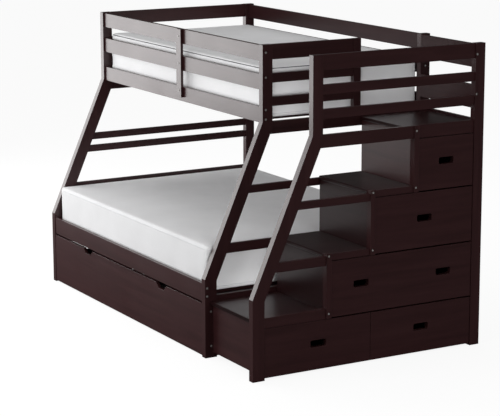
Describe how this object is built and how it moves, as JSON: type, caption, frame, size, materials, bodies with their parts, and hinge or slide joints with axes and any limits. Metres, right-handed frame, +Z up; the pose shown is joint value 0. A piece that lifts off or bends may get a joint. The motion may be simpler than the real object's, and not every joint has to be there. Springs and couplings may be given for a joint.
{
  "type": "bunk bed",
  "caption": "Bunk bed with a wide lower bunk, a narrower upper bunk with guard rails, a storage staircase with drawers, and a trundle on wheels.",
  "frame": {"origin": "on the floor, at the middle of the overall length and depth", "axes": "+X along the bed towards the staircase, +Y towards the back, +Z up"},
  "size_m": [2.489, 1.422, 1.651],
  "materials": {
    "espresso_wood": "dark espresso stain under satin lacquer",
    "bare_wood": "plain sanded pine",
    "mattress_fabric": "white woven cover",
    "bolt_metal": "dull nickel bolt heads",
    "caster_metal": "zinc plated",
    "wheel_rubber": "matt black"
  },
  "bodies": {
    "bed": {"bay_rear_boards": "espresso_wood", "deck_edge_strips": "espresso_wood", "drawer_runners": "bare_wood", "frame_bolts": "bolt_metal", "guard_centre_stile": "espresso_wood", "guard_screws": "bolt_metal", "left_end_rails": "espresso_wood", "left_front_post": "espresso_wood", "left_rear_post": "espresso_wood", "lower_front_rail": "espresso_wood", "lower_mattress": "mattress_fabric", "lower_rear_rail": "espresso_wood", "lower_slats": "espresso_wood", "middle_end_rails": "espresso_wood", "middle_front_post": "espresso_wood", "middle_guard_post": "espresso_wood", "middle_rear_post": "espresso_wood", "outer_end_rails": "espresso_wood", "outer_front_post": "espresso_wood", "outer_rear_post": "espresso_wood", "riser_1": "espresso_wood", "riser_2": "espresso_wood", "riser_3": "espresso_wood", "slat_supports": "espresso_wood", "stair_back_panel": "espresso_wood", "stair_divider": "espresso_wood", "stair_end_strips": "espresso_wood", "stair_front_panel": "espresso_wood", "stair_screws": "bolt_metal", "stair_side_panels": "espresso_wood", "stair_stiles": "espresso_wood", "tread_1": "espresso_wood", "tread_2": "espresso_wood", "tread_3": "espresso_wood", "tread_4": "espresso_wood", "trundle_stops": "espresso_wood", "upper_front_boards": "espresso_wood", "upper_mattress": "mattress_fabric", "upper_rear_boards": "espresso_wood", "upper_slats": "espresso_wood"},
    "trundle": {"trundle_front": "espresso_wood", "trundle_boards": "espresso_wood", "trundle_slats": "espresso_wood", "caster_blocks": "bare_wood", "caster_forks": "caster_metal", "caster_axles": "caster_metal"},
    "drawer_bottom_front": {"drawer_bottom_front_front": "espresso_wood", "drawer_bottom_front_box": "espresso_wood"},
    "drawer_bottom_rear": {"drawer_bottom_rear_front": "espresso_wood", "drawer_bottom_rear_box": "espresso_wood"},
    "drawer_wide": {"drawer_wide_front": "espresso_wood", "drawer_wide_box": "espresso_wood"},
    "drawer_third": {"drawer_third_front": "espresso_wood", "drawer_third_box": "espresso_wood"},
    "drawer_top": {"drawer_top_front": "espresso_wood", "drawer_top_box": "espresso_wood"},
    "wheel_front_left": {"wheel_front_left": "wheel_rubber"},
    "wheel_front_right": {"wheel_front_right": "wheel_rubber"},
    "wheel_rear_left": {"wheel_rear_left": "wheel_rubber"},
    "wheel_rear_right": {"wheel_rear_right": "wheel_rubber"}
  },
  "joints": [
    {"name": "trundle_slide", "type": "slide", "parent": "bed", "child": "trundle", "axis": [0, -1, 0], "range_m": [0, 0.9]},
    {"name": "drawer_bottom_front_slide", "type": "slide", "parent": "bed", "child": "drawer_bottom_front", "axis": [1, 0, 0], "range_m": [0, 0.38]},
    {"name": "drawer_bottom_rear_slide", "type": "slide", "parent": "bed", "child": "drawer_bottom_rear", "axis": [1, 0, 0], "range_m": [0, 0.38]},
    {"name": "drawer_wide_slide", "type": "slide", "parent": "bed", "child": "drawer_wide", "axis": [1, 0, 0], "range_m": [0, 0.38]},
    {"name": "drawer_third_slide", "type": "slide", "parent": "bed", "child": "drawer_third", "axis": [1, 0, 0], "range_m": [0, 0.38]},
    {"name": "drawer_top_slide", "type": "slide", "parent": "bed", "child": "drawer_top", "axis": [1, 0, 0], "range_m": [0, 0.38]},
    {"name": "wheel_front_left_spin", "type": "hinge", "parent": "trundle", "child": "wheel_front_left", "pos_m": [-1.1293, -0.601, 0.025], "axis": [1, 0, 0], "range_deg": [0, 2065]},
    {"name": "wheel_front_right_spin", "type": "hinge", "parent": "trundle", "child": "wheel_front_right", "pos_m": [0.6253, -0.601, 0.025], "axis": [1, 0, 0], "range_deg": [0, 2065]},
    {"name": "wheel_rear_left_spin", "type": "hinge", "parent": "trundle", "child": "wheel_rear_left", "pos_m": [-1.1293, 0.191, 0.025], "axis": [1, 0, 0], "range_deg": [0, 2065]},
    {"name": "wheel_rear_right_spin", "type": "hinge", "parent": "trundle", "child": "wheel_rear_right", "pos_m": [0.6253, 0.191, 0.025], "axis": [1, 0, 0], "range_deg": [0, 2065]}
  ],
  "couplings": [
    {"joint": "wheel_front_left_spin", "follows": "trundle_slide", "rad_per_m": 40},
    {"joint": "wheel_front_right_spin", "follows": "trundle_slide", "rad_per_m": 40},
    {"joint": "wheel_rear_left_spin", "follows": "trundle_slide", "rad_per_m": 40},
    {"joint": "wheel_rear_right_spin", "follows": "trundle_slide", "rad_per_m": 40}
  ]
}
